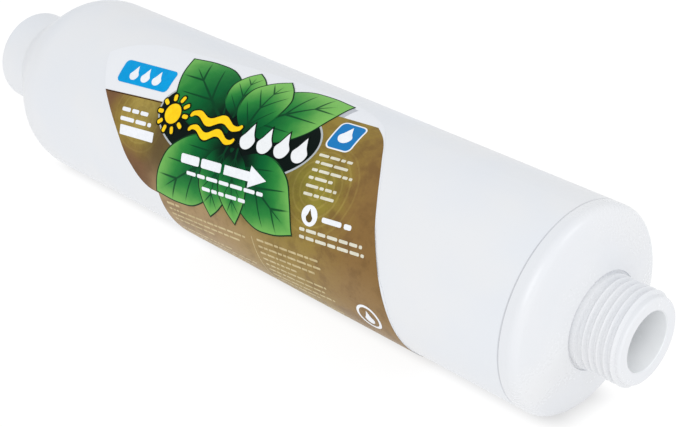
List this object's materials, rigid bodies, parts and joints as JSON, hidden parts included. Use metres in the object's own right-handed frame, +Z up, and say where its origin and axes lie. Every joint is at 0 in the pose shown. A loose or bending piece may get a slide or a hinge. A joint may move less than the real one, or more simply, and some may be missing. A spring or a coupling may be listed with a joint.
{
  "type": "inline water filter",
  "caption": "White cylindrical inline water filter with a tapered shoulder, female hose inlet, male hose outlet, wrap label and layered filter media.",
  "frame": {"origin": "on the flow axis, in the middle of the overall length", "axes": "+X along the flow axis towards the outlet spigot, +Z up with the filter lying on its side; the label's front faces -Y"},
  "size_m": [0.2666, 0.0608, 0.0608],
  "materials": {
    "housing": "satin moulded white",
    "end_cap": "satin moulded white",
    "label": "printed vinyl, satin",
    "washer_rubber": "matte black",
    "inner_plastic": "plain moulded",
    "mesh": "woven nylon",
    "felt": "fibrous",
    "foam": "open cell",
    "carbon": "granular",
    "copper_zinc": "granular"
  },
  "bodies": {
    "root": {"body_shell": "housing", "outlet_end_cap": "end_cap", "wrap_label": "label", "inlet_hose_washer": "washer_rubber", "inlet_diffuser": "inner_plastic", "outlet_support_plate": "inner_plastic", "inlet_mesh": "mesh", "outlet_mesh": "mesh", "inlet_mesh_ring": "inner_plastic", "outlet_mesh_ring": "inner_plastic", "sediment_pad": "felt", "polishing_pad": "felt", "divider_pad": "felt", "compression_foam": "foam", "carbon_bed": "carbon", "copper_zinc_bed": "copper_zinc"}
  },
  "joints": []
}
